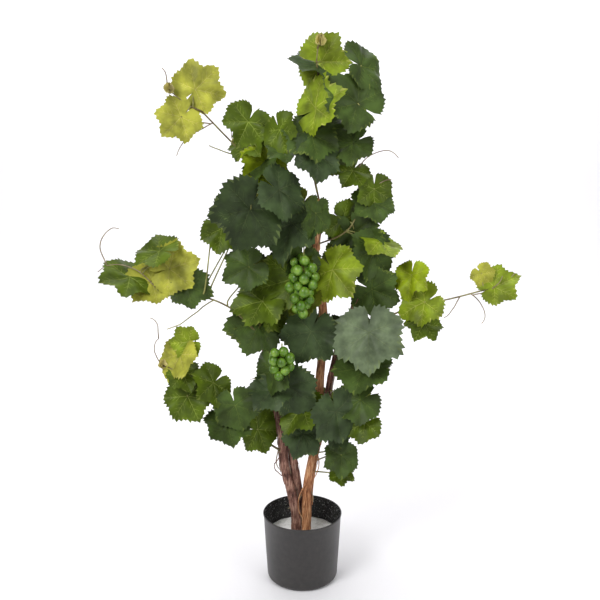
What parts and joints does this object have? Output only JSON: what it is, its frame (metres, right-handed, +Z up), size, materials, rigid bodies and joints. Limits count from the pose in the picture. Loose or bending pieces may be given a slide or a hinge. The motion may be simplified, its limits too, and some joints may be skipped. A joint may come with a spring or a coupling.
{
  "type": "artificial potted grapevine",
  "caption": "Artificial grapevine: twisted woody stems rise from a plastic pot's cement plug and carry thin arms with lobed leaves and green grape bunches.",
  "frame": {"origin": "centre of the pot's flat underside", "axes": "+Z up, -Y towards the front of the plant, +X to the right seen from the front"},
  "size_m": [0.6728, 0.2484, 0.9027],
  "materials": {
    "pot_plastic": "satin",
    "cement": "matte",
    "red_bark": "matte",
    "brown_bark": "matte",
    "shoot_plastic": "satin",
    "old_leaf": "satin",
    "mid_leaf": "matte",
    "young_leaf": "matte",
    "grape_plastic": "satin"
  },
  "bodies": {
    "root": {"pot": "pot_plastic", "cement_plug": "cement", "left_stem": "red_bark", "left_strand": "red_bark", "right_stem": "brown_bark", "back_stem": "red_bark", "top_leader": "shoot_plastic", "right_upper_arm": "shoot_plastic", "upper_left_arm": "shoot_plastic", "left_arm": "shoot_plastic", "right_arm": "shoot_plastic", "lower_left_arm": "shoot_plastic", "back_upper_arm": "shoot_plastic", "back_right_arm": "shoot_plastic", "back_left_arm": "shoot_plastic", "back_lower_arm": "shoot_plastic", "top_foliage": "young_leaf", "upper_crown_foliage": "old_leaf", "upper_left_tip_foliage": "young_leaf", "upper_left_foliage": "mid_leaf", "left_crown_foliage": "old_leaf", "left_centre_foliage": "mid_leaf", "left_arm_foliage": "young_leaf", "right_upper_foliage": "mid_leaf", "right_crown_foliage": "mid_leaf", "right_arm_foliage": "young_leaf", "right_tip_foliage": "young_leaf", "right_centre_foliage": "old_leaf", "centre_foliage": "old_leaf", "right_lower_foliage": "old_leaf", "low_hanging_foliage": "mid_leaf", "low_front_foliage": "old_leaf", "lower_left_foliage": "mid_leaf", "lower_left_tip_foliage": "young_leaf", "back_upper_foliage": "mid_leaf", "back_right_foliage": "old_leaf", "back_left_foliage": "old_leaf", "back_centre_foliage": "old_leaf", "back_lower_foliage": "mid_leaf"}
  },
  "joints": []
}
